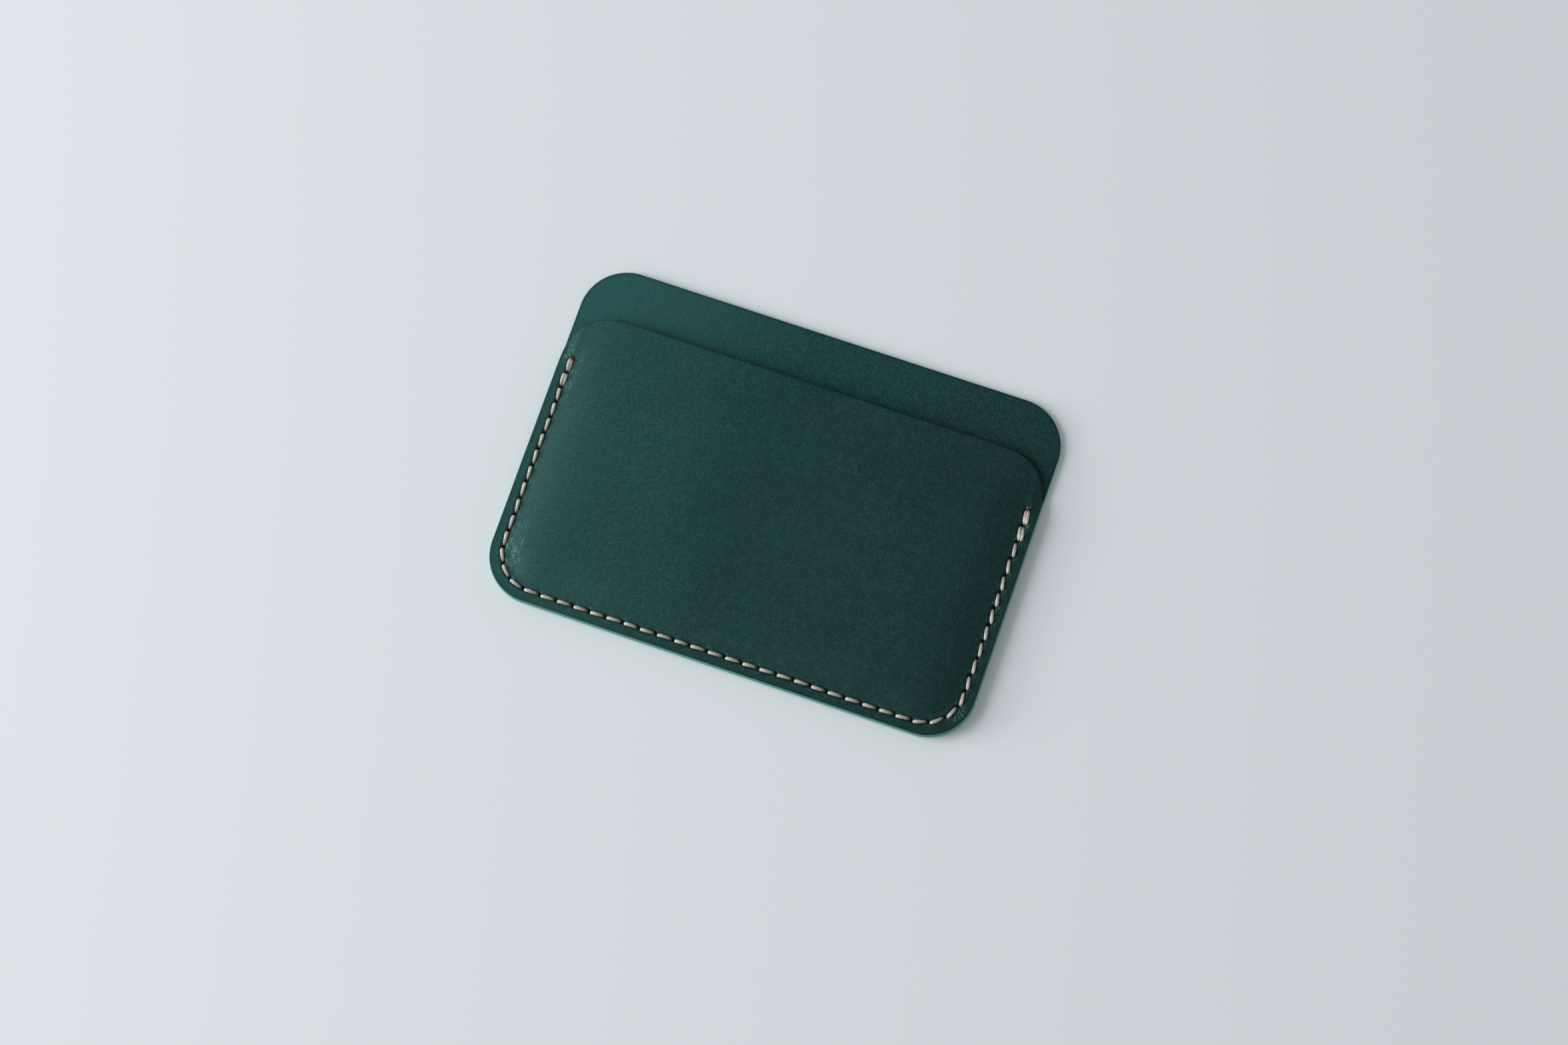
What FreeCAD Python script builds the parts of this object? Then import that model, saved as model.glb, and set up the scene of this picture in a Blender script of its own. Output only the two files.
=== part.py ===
import FreeCAD, Part
import Sketcher
import math
import os
from FreeCAD import Placement, Rotation, Vector

# Stitched leather card holder: a back panel, a shorter moulded front panel that makes one open
# pocket, a cement film along the U-shaped seam, and the two waxed threads that sew the seam.
# It lies on its back. X is along the mouth, +Y points out of the mouth and +Z out of the front.
# The origin is under the middle of the panels, on the plane that the back panel rests on.

DIMENSIONS = (
    ("width", 100.0),
    ("height", 70.0),
    ("corner_radius", 9.6),
    ("back_thickness", 1.2),
    ("front_thickness", 1.2),
    ("edge_bevel", 0.25),
    ("cement_thickness", 0.1),
    ("cement_width", 3.7),
    ("cement_reach", 1.6),
    ("mouth_drop", 10.7),
    ("mouth_radius", 9.6),
    ("form_margin", 4.0),
    ("form_run", 5.2),
    ("form_rise", 1.8),
    ("stitch_inset", 2.35),
    ("seam_drop", 20.6),
    ("stitch_total", 53),
    ("thread_diameter", 0.6),
    ("bend_radius", 0.35),
    ("bead_radius", 0.5),
    ("slit_across", 0.7),
    ("slit_along", 0.45),
    ("slit_clearance", 0.03),
    ("stitch_sink", 0.19),
    ("rear_lift", 0.01),
    ("groove_depth", 0.63),
    ("groove_half_width", 1.0),
    ("end_bed_half_width", 1.45),
    ("groove_overrun", 1.2),
)

doc = FreeCAD.newDocument("card_holder")
sheet = doc.addObject("Spreadsheet::Sheet", "dims")
for row, (alias, value) in enumerate(DIMENSIONS, start=1):
    sheet.set(f"A{row}", alias)
    sheet.set(f"B{row}", str(value))
    sheet.setAlias(f"B{row}", alias)
doc.recompute()


def size(alias):
    return float(sheet.get(alias))


# Levels along Z, from the plane it rests on.
SEAM_LEVEL = size("back_thickness") + size("cement_thickness")
FRONT_FACE = SEAM_LEVEL + size("front_thickness")
SEAM_WORDS = "dims.back_thickness + dims.cement_thickness"
FACE_WORDS = SEAM_WORDS + " + dims.front_thickness"

# The panels' outline.
SIDE = size("width") / 2
TOP = size("height") / 2
BOTTOM = -TOP
CORNER = size("corner_radius")
MOUTH = TOP - size("mouth_drop")
MOUTH_RADIUS = size("mouth_radius")
SHOULDER = MOUTH - MOUTH_RADIUS
HALF_WIDTH_WORDS = "dims.width / 2"
HALF_HEIGHT_WORDS = "dims.height / 2"

HALF_THREAD = size("thread_diameter") / 2
LEAST_CUT = 1e-4  # mm3: a pocket that removes less than this has missed the solid

# ---------------------------------------------------------------- sketches and features


def origin_plane(body, role):
    return next(item for item in body.Origin.OriginFeatures if item.Role == role)


def new_body(label):
    body = doc.addObject("PartDesign::Body", label)
    body.Label = label
    return body


def new_sketch(body, name, level=0.0, level_words=None, role="XY_Plane"):
    """A sketch on one of the body's origin planes, raised to a level along its normal."""
    sketch = body.newObject("Sketcher::SketchObject", name)
    sketch.AttachmentSupport = [(origin_plane(body, role), "")]
    sketch.MapMode = "FlatFace"
    sketch.AttachmentOffset = Placement(Vector(0, 0, level), Rotation())
    if level_words:
        sketch.setExpression("AttachmentOffset.Base.z", level_words)
    return sketch


def line(start, end):
    return Part.LineSegment(Vector(start[0], start[1], 0), Vector(end[0], end[1], 0))


def arc(centre, radius, start_degrees, end_degrees):
    circle = Part.Circle(Vector(centre[0], centre[1], 0), Vector(0, 0, 1), radius)
    return Part.ArcOfCircle(circle, math.radians(start_degrees), math.radians(end_degrees))


def bound_constraint(sketch, name, words, *constraint):
    """A dimension of the sketch that follows an expression of the sheet's cells."""
    index = sketch.addConstraint(Sketcher.Constraint(*constraint))
    sketch.renameConstraint(index, name)
    sketch.setExpression("Constraints." + name, words)


def rounded_plate(sketch, half_width, below, above, radius):
    """A rounded rectangle about X = 0; each size is a value and the words that bind it."""
    half, low, high, turn = half_width[0], -below[0], above[0], radius[0]
    sketch.addGeometry([
        line((-half + turn, low), (half - turn, low)),
        arc((half - turn, low + turn), turn, 270, 360),
        line((half, low + turn), (half, high - turn)),
        arc((half - turn, high - turn), turn, 0, 90),
        line((half - turn, high), (-half + turn, high)),
        arc((-half + turn, high - turn), turn, 90, 180),
        line((-half, high - turn), (-half, low + turn)),
        arc((-half + turn, low + turn), turn, 180, 270),
    ], False)
    for edge in range(8):
        sketch.addConstraint(Sketcher.Constraint("Tangent", edge, 2, (edge + 1) % 8, 1))
    for edge in (0, 4):
        sketch.addConstraint(Sketcher.Constraint("Horizontal", edge))
        sketch.addConstraint(Sketcher.Constraint("Vertical", edge + 2))
    for edge in (3, 5, 7):
        sketch.addConstraint(Sketcher.Constraint("Equal", 1, edge))
    bound_constraint(sketch, "corner", radius[1], "Radius", 1, turn)
    bound_constraint(sketch, "half_right", half_width[1], "DistanceX", -1, 1, 2, 1, half)
    bound_constraint(sketch, "half_left", half_width[1], "DistanceX", 6, 1, -1, 1, half)
    bound_constraint(sketch, "below", below[1], "DistanceY", 0, 1, -1, 1, below[0])
    bound_constraint(sketch, "above", above[1], "DistanceY", -1, 1, 4, 1, high)


def pad(body, name, sketch, alias):
    feature = body.newObject("PartDesign::Pad", name)
    feature.Profile = sketch
    feature.Length = size(alias)
    feature.setExpression("Length", "dims." + alias)
    doc.recompute()
    return feature


def pocket(body, name, sketch, depth=None, depth_words=None, upwards=False):
    """Cut a sketch into a body; with no depth it goes right through, both ways."""
    feature = body.newObject("PartDesign::Pocket", name)
    feature.Profile = sketch
    if depth is None:
        feature.Type = "ThroughAll"
        feature.Midplane = True
    else:
        feature.Type = "Length"
        feature.Length = depth
        feature.setExpression("Length", depth_words)
        feature.Reversed = upwards
    doc.recompute()
    if feature.Shape.Volume > feature.BaseFeature.Shape.Volume - LEAST_CUT:
        raise RuntimeError(f"{name} in {body.Label} cuts nothing")


# ---------------------------------------------------------------- the seam

STITCHES = int(size("stitch_total"))
LAST = STITCHES  # the last slit; the first is slit 0
SEAM_SIDE = SIDE - size("stitch_inset")
SEAM_BOTTOM = BOTTOM + size("stitch_inset")
SEAM_TOP = TOP - size("seam_drop")
SEAM_RADIUS = CORNER - size("stitch_inset")
SIDE_LENGTH = SEAM_TOP - SEAM_BOTTOM - SEAM_RADIUS
ARC_LENGTH = math.pi / 2 * SEAM_RADIUS
BASE_LENGTH = 2 * (SEAM_SIDE - SEAM_RADIUS)
SEAM_LENGTH = 2 * SIDE_LENGTH + 2 * ARC_LENGTH + BASE_LENGTH
PITCH = SEAM_LENGTH / STITCHES

# Places of the strands in a slit, counted in strands from the seam line, outwards.
FAR_INNER, INNER, OUTER, FAR_OUTER = -1.5, -0.5, 0.5, 1.5


def corner_frame(x_sign, angle):
    """Point, direction of travel and outward normal on the seam's bend at one lower corner."""
    centre = Vector(x_sign * (SEAM_SIDE - SEAM_RADIUS), SEAM_BOTTOM + SEAM_RADIUS, 0)
    out = Vector(math.cos(angle), math.sin(angle), 0)
    return centre + out * SEAM_RADIUS, Vector(-out.y, out.x, 0), out


def seam_frame(distance):
    """The same three at a distance along the seam: down the left, across and up the right."""
    if distance <= SIDE_LENGTH:
        return Vector(-SEAM_SIDE, SEAM_TOP - distance, 0), Vector(0, -1, 0), Vector(-1, 0, 0)
    distance -= SIDE_LENGTH
    if distance <= ARC_LENGTH:
        return corner_frame(-1, math.pi + distance / SEAM_RADIUS)
    distance -= ARC_LENGTH
    if distance <= BASE_LENGTH:
        start = Vector(-SEAM_SIDE + SEAM_RADIUS, SEAM_BOTTOM, 0)
        return start + Vector(distance, 0, 0), Vector(1, 0, 0), Vector(0, -1, 0)
    distance -= BASE_LENGTH
    if distance <= ARC_LENGTH:
        return corner_frame(1, -math.pi / 2 + distance / SEAM_RADIUS)
    climb = SEAM_BOTTOM + SEAM_RADIUS + distance - ARC_LENGTH
    return Vector(SEAM_SIDE, climb, 0), Vector(0, 1, 0), Vector(1, 0, 0)


def strand_point(slit, place):
    """Where a strand at one of the places passes through a slanted slit."""
    point, along, out = seam_frame(slit * PITCH)
    return point + along * (place * size("slit_along")) + out * (place * size("slit_across"))


def slit_reach(slit):
    """The outermost places of a slit; those of the doubled end stitches are longer."""
    longer = {
        1: (FAR_INNER, FAR_OUTER),
        2: (INNER, FAR_OUTER),
        LAST - 2: (FAR_INNER, OUTER),
        LAST - 1: (FAR_INNER, FAR_OUTER),
    }
    return longer.get(slit, (INNER, OUTER))


def add_slot(sketch, start, end, half_width):
    """A round-ended slot from start to end."""
    angle = math.degrees(math.atan2(end.y - start.y, end.x - start.x))
    side = (end - start).normalize().cross(Vector(0, 0, 1)) * half_width
    sketch.addGeometry([
        line(start + side, end + side),
        arc(end, half_width, angle - 90, angle + 90),
        line(end - side, start - side),
        arc(start, half_width, angle + 90, angle + 270),
    ], False)


def cut_slits(body):
    """The slanted slits of the seam, right through a layer."""
    sketch = new_sketch(body, body.Label + "_slit_outlines")
    for slit in range(LAST + 1):
        low, high = slit_reach(slit)
        add_slot(sketch, strand_point(slit, low), strand_point(slit, high),
                 HALF_THREAD + size("slit_clearance"))
    pocket(body, body.Label + "_slits", sketch)


def add_band(sketch, half_width, first, last):
    """The outline of a band of the seam between two distances along it, with square ends."""
    bends = (SIDE_LENGTH, SIDE_LENGTH + ARC_LENGTH, SEAM_LENGTH - SIDE_LENGTH - ARC_LENGTH,
             SEAM_LENGTH - SIDE_LENGTH)
    stops = [first] + [bend for bend in bends if first < bend < last] + [last]
    edges = []
    for offset in (half_width, -half_width):
        for start, end in zip(stops, stops[1:]):
            spots = []
            for distance in (start, (start + end) / 2, end):
                point, _, out = seam_frame(distance)
                spots.append(point + out * offset)
            straight = spots[0].distanceToLine(spots[1], spots[2] - spots[1]) < LEAST_CUT
            edges.append(line(spots[0], spots[2]) if straight else Part.Arc(*spots))
    for distance in (first, last):
        point, _, out = seam_frame(distance)
        edges.append(line(point + out * half_width, point - out * half_width))
    sketch.addGeometry(edges, False)


# ---------------------------------------------------------------- the sub-parts


def make_back_panel():
    """A flat bevelled plate, with the seam's slits and a groove that its rear stitches lie in."""
    body = new_body("back_panel")
    sketch = new_sketch(body, "back_outline")
    rounded_plate(sketch, (SIDE, HALF_WIDTH_WORDS), (TOP, HALF_HEIGHT_WORDS),
                  (TOP, HALF_HEIGHT_WORDS), (CORNER, "dims.corner_radius"))
    plate = pad(body, "back_leather", sketch, "back_thickness")
    rim = [f"Edge{index}" for index, edge in enumerate(plate.Shape.Edges, start=1)
           if edge.BoundBox.ZLength < HALF_THREAD]
    bevel = body.newObject("PartDesign::Chamfer", "back_edge_bevel")
    bevel.Base = (plate, rim)
    bevel.Size = size("edge_bevel")
    bevel.setExpression("Size", "dims.edge_bevel")

    overrun = size("groove_overrun")
    groove = new_sketch(body, "groove_outline")
    add_band(groove, size("groove_half_width"), -overrun, SEAM_LENGTH + overrun)
    pocket(body, "stitch_groove", groove, size("groove_depth"), "dims.groove_depth", upwards=True)
    doubled = 2 * PITCH + overrun
    ends = new_sketch(body, "end_beds_outline")
    add_band(ends, size("end_bed_half_width"), -overrun, doubled)
    add_band(ends, size("end_bed_half_width"), SEAM_LENGTH - doubled, SEAM_LENGTH + overrun)
    pocket(body, "end_beds", ends, size("groove_depth"), "dims.groove_depth", upwards=True)
    cut_slits(body)


def make_seam_cement():
    """A thin U-shaped film under the front panel's margin, up into its rounded shoulders."""
    body = new_body("seam_cement")
    sketch = new_sketch(body, "cement_outline", size("back_thickness"), "dims.back_thickness")
    inner = SIDE - size("cement_width")
    inner_radius = CORNER - size("cement_width")
    film_top = SHOULDER + size("cement_reach")
    turn = math.asin(size("cement_reach") / MOUTH_RADIUS)
    tip = SIDE - MOUTH_RADIUS * (1 - math.cos(turn))
    bend_x, bend_y = SIDE - CORNER, BOTTOM + CORNER
    sketch.addGeometry([
        arc((-SIDE + MOUTH_RADIUS, SHOULDER), MOUTH_RADIUS, 180 - math.degrees(turn), 180),
        line((-SIDE, SHOULDER), (-SIDE, bend_y)),
        arc((-bend_x, bend_y), CORNER, 180, 270),
        line((-bend_x, BOTTOM), (bend_x, BOTTOM)),
        arc((bend_x, bend_y), CORNER, 270, 360),
        line((SIDE, bend_y), (SIDE, SHOULDER)),
        arc((SIDE - MOUTH_RADIUS, SHOULDER), MOUTH_RADIUS, 0, math.degrees(turn)),
        line((tip, film_top), (inner, film_top)),
        line((inner, film_top), (inner, bend_y)),
        arc((bend_x, bend_y), inner_radius, 270, 360),
        line((bend_x, bend_y - inner_radius), (-bend_x, bend_y - inner_radius)),
        arc((-bend_x, bend_y), inner_radius, 180, 270),
        line((-inner, bend_y), (-inner, film_top)),
        line((-inner, film_top), (-tip, film_top)),
    ], False)
    pad(body, "cement_film", sketch, "cement_thickness")
    cut_slits(body)


def add_moulded_rim(body, path_top):
    """One profile led round the U of the seam: a flat margin, then an S-shaped rise."""
    margin, run, rise = size("form_margin"), size("form_run"), size("form_rise")
    leather, bevel = size("front_thickness"), size("edge_bevel")
    bend = (run ** 2 + rise ** 2) / (4 * rise)
    tilt = math.degrees(math.asin(run / 2 / bend))
    foot_x, crown_x = margin - SIDE, margin + run - SIDE
    foot_centre = (foot_x, FRONT_FACE + bend)
    crown_centre = (crown_x, FRONT_FACE + rise - bend)
    profile = new_sketch(body, "rim_profile", -path_top,
                         "-(dims.height / 2 - dims.mouth_drop + dims.mouth_radius)", "XZ_Plane")
    profile.addGeometry([
        line((-SIDE, SEAM_LEVEL), (foot_x, SEAM_LEVEL)),
        arc(foot_centre, bend + leather, 270, 270 + tilt),
        arc(crown_centre, bend - leather, 90, 90 + tilt),
        line((crown_x, SEAM_LEVEL + rise), (crown_x, FRONT_FACE + rise)),
        arc(crown_centre, bend, 90, 90 + tilt),
        arc(foot_centre, bend, 270, 270 + tilt),
        line((foot_x, FRONT_FACE), (-SIDE + bevel, FRONT_FACE)),
        line((-SIDE + bevel, FRONT_FACE), (-SIDE, FRONT_FACE - bevel)),
        line((-SIDE, FRONT_FACE - bevel), (-SIDE, SEAM_LEVEL)),
    ], False)
    path = new_sketch(body, "rim_path")
    bend_x, bend_y = SIDE - CORNER, BOTTOM + CORNER
    path.addGeometry([
        line((-SIDE, path_top), (-SIDE, bend_y)),
        arc((-bend_x, bend_y), CORNER, 180, 270),
        line((-bend_x, BOTTOM), (bend_x, BOTTOM)),
        arc((bend_x, bend_y), CORNER, 270, 360),
        line((SIDE, bend_y), (SIDE, path_top)),
    ], False)
    rim = body.newObject("PartDesign::AdditivePipe", "moulded_rim")
    rim.Profile = profile
    rim.Spine = (path, [f"Edge{index}" for index in range(1, 6)])
    rim.Mode = "Frenet"
    doc.recompute()


def cut_mouth(body):
    """A straight mouth with a rounded shoulder at each side, cut through the moulded form."""
    sketch = new_sketch(body, "mouth_outline")
    straight = SIDE - MOUTH_RADIUS
    beyond, high = SIDE + MOUTH_RADIUS, MOUTH + 2 * MOUTH_RADIUS
    sketch.addGeometry([
        line((-beyond, SHOULDER), (-SIDE, SHOULDER)),
        arc((-straight, SHOULDER), MOUTH_RADIUS, 90, 180),
        line((-straight, MOUTH), (straight, MOUTH)),
        arc((straight, SHOULDER), MOUTH_RADIUS, 0, 90),
        line((SIDE, SHOULDER), (beyond, SHOULDER)),
        line((beyond, SHOULDER), (beyond, high)),
        line((beyond, high), (-beyond, high)),
        line((-beyond, high), (-beyond, SHOULDER)),
    ], False)
    pocket(body, "mouth_cut", sketch)


def cut_stitch_beds(body):
    """Shallow beds for the front stitches and second strands, and a seat for each end bead."""
    depth = size("stitch_sink") + size("slit_clearance")
    depth_words = "dims.stitch_sink + dims.slit_clearance"
    bed_half = HALF_THREAD + 2 * size("slit_clearance")
    beds = new_sketch(body, "stitch_beds_outline", FRONT_FACE, FACE_WORDS)
    for slit in range(STITCHES):
        add_slot(beds, strand_point(slit, OUTER), strand_point(slit + 1, INNER), bed_half)
    pocket(body, "stitch_beds", beds, depth, depth_words)

    second_strands = ((0, INNER, FAR_INNER), (1, FAR_OUTER, FAR_OUTER),
                      (LAST - 2, FAR_INNER, FAR_INNER), (LAST - 1, FAR_OUTER, OUTER))
    seconds = new_sketch(body, "second_beds_outline", FRONT_FACE, FACE_WORDS)
    for slit, place, next_place in second_strands:
        add_slot(seconds, strand_point(slit, place), strand_point(slit + 1, next_place), bed_half)
    pocket(body, "second_beds", seconds, depth, depth_words)

    seats = new_sketch(body, "bead_seats_outline", FRONT_FACE, FACE_WORDS)
    for slit, place in ((0, INNER), (LAST, OUTER)):
        seat = Part.Circle(strand_point(slit, place), Vector(0, 0, 1),
                           size("bead_radius") + size("slit_clearance"))
        seats.addGeometry(seat, False)
    pocket(body, "bead_seats", seats, size("bead_radius") - HALF_THREAD + depth,
           "dims.bead_radius - dims.thread_diameter / 2 + " + depth_words)


def make_front_panel():
    """A moulded shell of even thickness: sewn rim, raised crown and open mouth."""
    body = new_body("front_panel")
    path_top = MOUTH + MOUTH_RADIUS
    add_moulded_rim(body, path_top)
    inset = size("form_margin") + size("form_run")
    inset_words = "(dims.form_margin + dims.form_run)"
    crown = new_sketch(body, "crown_outline", SEAM_LEVEL + size("form_rise"),
                       SEAM_WORDS + " + dims.form_rise")
    rounded_plate(crown, (SIDE - inset, HALF_WIDTH_WORDS + " - " + inset_words),
                  (TOP - inset, HALF_HEIGHT_WORDS + " - " + inset_words),
                  (path_top, HALF_HEIGHT_WORDS + " - dims.mouth_drop + dims.mouth_radius"),
                  (CORNER - inset, "dims.corner_radius - " + inset_words))
    pad(body, "moulded_crown", crown, "front_thickness")
    cut_mouth(body)
    cut_stitch_beds(body)
    cut_slits(body)


# ---------------------------------------------------------------- threads

FRONT_RUN = FRONT_FACE + HALF_THREAD - size("stitch_sink")
REAR_RUN = HALF_THREAD + size("rear_lift")


def rounded_path(points, radius):
    """Straight runs through the points, joined by tangent arcs."""
    edges = []
    start = points[0]
    for before, corner, after in zip(points, points[1:], points[2:]):
        arriving = (corner - before).normalize()
        leaving = (after - corner).normalize()
        half_turn = arriving.getAngle(leaving) / 2
        first = corner - arriving * (radius * math.tan(half_turn))
        last = corner + leaving * (radius * math.tan(half_turn))
        inwards = (leaving - arriving).normalize()
        middle = corner + inwards * (radius / math.cos(half_turn) - radius)
        edges.append(Part.LineSegment(start, first).toShape())
        edges.append(Part.Arc(first, middle, last).toShape())
        start = last
    edges.append(Part.LineSegment(start, points[-1]).toShape())
    return Part.Wire(edges)


def tube(path_wire, radius):
    """A round solid along a path; its volume must be the section times the length."""
    first = path_wire.OrderedEdges[0]
    start = first.valueAt(first.FirstParameter)
    ring = Part.makeCircle(radius, start, first.tangentAt(first.FirstParameter))
    solid = path_wire.makePipeShell([Part.Wire([ring])], True, False)
    expected = math.pi * radius ** 2 * path_wire.Length
    if abs(solid.Volume / expected - 1) > 0.01:
        raise RuntimeError(f"tube volume {solid.Volume:.3f} is not {expected:.3f} mm3")
    return solid


def raised(point, level):
    return Vector(point.x, point.y, level)


def through_slits(passes, level, other_level):
    """Points of a thread that crosses from one face of the seam to the other at each pass."""
    points = []
    for slit, place in passes:
        points.append(raised(strand_point(slit, place), level))
        points.append(raised(strand_point(slit, place), other_level))
        level, other_level = other_level, level
    return points


def weave(first_stitch):
    """The passes of every second front stitch: up at its outer place, down at the inner one."""
    passes = []
    for stitch in range(first_stitch, STITCHES, 2):
        passes += [(stitch, OUTER), (stitch + 1, INNER)]
    return passes


def add_thread(label, solid):
    feature = doc.addObject("Part::Feature", label)
    feature.Label = label
    feature.Shape = solid
    feature.Placement = Placement(Vector(0, 0, 0), Rotation())


def make_lead_thread():
    """It sews the first and last stitches twice and ends in a melted bead at each end slit."""
    ends = [raised(strand_point(0, INNER), FRONT_RUN), raised(strand_point(LAST, OUTER), FRONT_RUN)]
    passes = [(1, FAR_INNER)] + weave(0) + [(LAST - 1, FAR_OUTER)]
    points = [ends[0]] + through_slits(passes, FRONT_RUN, REAR_RUN) + [ends[1]]
    solid = tube(rounded_path(points, size("bend_radius")), HALF_THREAD)
    beads = [Part.makeSphere(size("bead_radius"), end) for end in ends]
    add_thread("lead_thread", solid.fuse(beads))


def make_following_thread():
    """It sews the stitches between, doubles the second and last but one, and is trimmed behind."""
    passes = [(1, FAR_OUTER), (2, FAR_OUTER)] + weave(1)
    passes += [(LAST - 2, FAR_INNER), (LAST - 1, FAR_INNER)]
    points = through_slits(passes, REAR_RUN, FRONT_RUN)
    points[0].z = points[-1].z = size("rear_lift")
    add_thread("following_thread", tube(rounded_path(points, size("bend_radius")), HALF_THREAD))


# ---------------------------------------------------------------- checks and files

make_back_panel()
make_seam_cement()
make_front_panel()
make_lead_thread()
make_following_thread()
doc.recompute()

NODES = ("back_panel", "seam_cement", "front_panel", "lead_thread", "following_thread")
for item in doc.Objects:
    if "Invalid" in item.State or "Error" in item.State:
        raise RuntimeError(f"{item.Label} failed: {item.State}")
for node in NODES:
    shape = doc.getObjectsByLabel(node)[0].Shape
    if shape.isNull() or not shape.isValid() or len(shape.Solids) != 1:
        raise RuntimeError(f"{node} isn't one valid solid")
    print(f"{node}: {shape.Volume:.1f} mm3")
os.makedirs("parts", exist_ok=True)
for node in NODES:
    doc.getObjectsByLabel(node)[0].Shape.exportStep(f"parts/{node}.step")
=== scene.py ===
import math

import bpy
import numpy as np
from mathutils import Matrix, Vector
from mathutils.geometry import delaunay_2d_cdt


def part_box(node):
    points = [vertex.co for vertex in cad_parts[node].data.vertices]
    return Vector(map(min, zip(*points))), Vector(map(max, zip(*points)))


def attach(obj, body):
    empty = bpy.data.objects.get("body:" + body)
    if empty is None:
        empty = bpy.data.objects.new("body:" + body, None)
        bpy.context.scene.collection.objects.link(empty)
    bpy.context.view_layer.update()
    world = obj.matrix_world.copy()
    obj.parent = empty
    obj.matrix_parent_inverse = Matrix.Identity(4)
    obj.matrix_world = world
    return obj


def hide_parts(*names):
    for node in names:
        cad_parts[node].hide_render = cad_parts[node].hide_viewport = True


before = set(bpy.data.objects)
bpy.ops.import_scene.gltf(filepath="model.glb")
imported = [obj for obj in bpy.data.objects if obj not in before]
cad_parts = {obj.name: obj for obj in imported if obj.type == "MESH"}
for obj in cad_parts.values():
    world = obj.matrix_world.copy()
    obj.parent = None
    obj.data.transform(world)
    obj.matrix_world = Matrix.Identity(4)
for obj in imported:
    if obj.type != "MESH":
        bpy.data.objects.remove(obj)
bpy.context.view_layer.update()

# All shapes are worked out in millimetres in the frame of the part, and written in metres.
MM = 0.001
rng = np.random.default_rng(20)

# ---------------------------------------------------------------- sizes

back_low, back_high = (np.array(corner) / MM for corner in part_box("back_panel"))
front_low, front_high = (np.array(corner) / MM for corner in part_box("front_panel"))

SIDE = back_high[0]
TOP, BOTTOM = back_high[1], back_low[1]
BACK_FACE = back_high[2]
SEAM_LEVEL = front_low[2]
LEATHER = BACK_FACE - back_low[2]
FRONT_FACE = SEAM_LEVEL + LEATHER
RISE = front_high[2] - FRONT_FACE
MOUTH = front_high[1]
CORNER = 9.6
STITCH_INSET = 2.35
SEAM_DROP = 20.6
STITCHES = 53
THREAD_RADIUS = 0.33

SEAM_SIDE = SIDE - STITCH_INSET
SEAM_BOTTOM = BOTTOM + STITCH_INSET
SEAM_TOP = TOP - SEAM_DROP
SEAM_RADIUS = CORNER - STITCH_INSET
BEND_X = SEAM_SIDE - SEAM_RADIUS
BEND_Y = SEAM_BOTTOM + SEAM_RADIUS
SIDE_LENGTH = SEAM_TOP - BEND_Y
ARC_LENGTH = math.pi / 2 * SEAM_RADIUS
BASE_LENGTH = 2 * BEND_X
SEAM_LENGTH = 2 * SIDE_LENGTH + 2 * ARC_LENGTH + BASE_LENGTH
PITCH = SEAM_LENGTH / STITCHES

# ---------------------------------------------------------------- helpers


def smooth(value, low, high):
    """Smoothly from 0 at low to 1 at high."""
    t = np.clip((value - low) / (high - low), 0, 1)
    return t * t * t * (t * (6 * t - 15) + 10)


def bell(value, width):
    """A smooth bump of height 1 at 0, down to 1/e at width."""
    return np.exp(-(value / width) ** 2)


def ridges(phase):
    """Narrow ridges, one to each whole step of phase."""
    return (1 - np.abs(2 * (phase - np.floor(phase)) - 1)) ** 2


def value_noise(x, y, cell, seed, octaves=1):
    """Smooth seeded noise in -1..1 on a plane, with features about one cell wide."""
    total, weight = 0, 0
    for octave in range(octaves):
        step = cell / 2 ** octave
        table = np.random.default_rng(seed + octave).uniform(-1, 1, (256, 256))
        u, v = x / step + 40.5, y / step + 40.5
        i, j = np.floor(u).astype(int), np.floor(v).astype(int)
        fu, fv = smooth(u - i, 0, 1), smooth(v - j, 0, 1)
        near = table[i % 256, j % 256] * (1 - fu) + table[(i + 1) % 256, j % 256] * fu
        far = table[i % 256, (j + 1) % 256] * (1 - fu) + table[(i + 1) % 256, (j + 1) % 256] * fu
        total = total + (near * (1 - fv) + far * fv) / 2 ** octave
        weight += 1 / 2 ** octave
    return total / weight


def segment_distance(px, py, ax, ay, bx, by):
    """Distance from points to segments, and how far along each segment the nearest point is."""
    dx, dy = bx - ax, by - ay
    t = np.clip(((px - ax) * dx + (py - ay) * dy) / (dx * dx + dy * dy), 0, 1)
    return np.hypot(px - ax - t * dx, py - ay - t * dy), t


# ---------------------------------------------------------------- the seam


def seam_coordinates(x, y):
    """Distance along the seam and outward distance from it, for points near the seam."""
    along = np.where(x < 0, SEAM_TOP - y, SEAM_LENGTH - SEAM_TOP + y)
    out = np.abs(x) - SEAM_SIDE
    low = y < BEND_Y
    across = low & (np.abs(x) <= BEND_X)
    along = np.where(across, SIDE_LENGTH + ARC_LENGTH + x + BEND_X, along)
    out = np.where(across, SEAM_BOTTOM - y, out)
    for sign in (-1, 1):
        bend = low & (sign * x > BEND_X)
        dx, dy = x - sign * BEND_X, y - BEND_Y
        turn = np.arctan2(-dy, np.abs(dx)) * SEAM_RADIUS
        position = SIDE_LENGTH + turn if sign < 0 else SEAM_LENGTH - SIDE_LENGTH - turn
        along = np.where(bend, position, along)
        out = np.where(bend, np.hypot(dx, dy) - SEAM_RADIUS, out)
    return along, out


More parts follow.
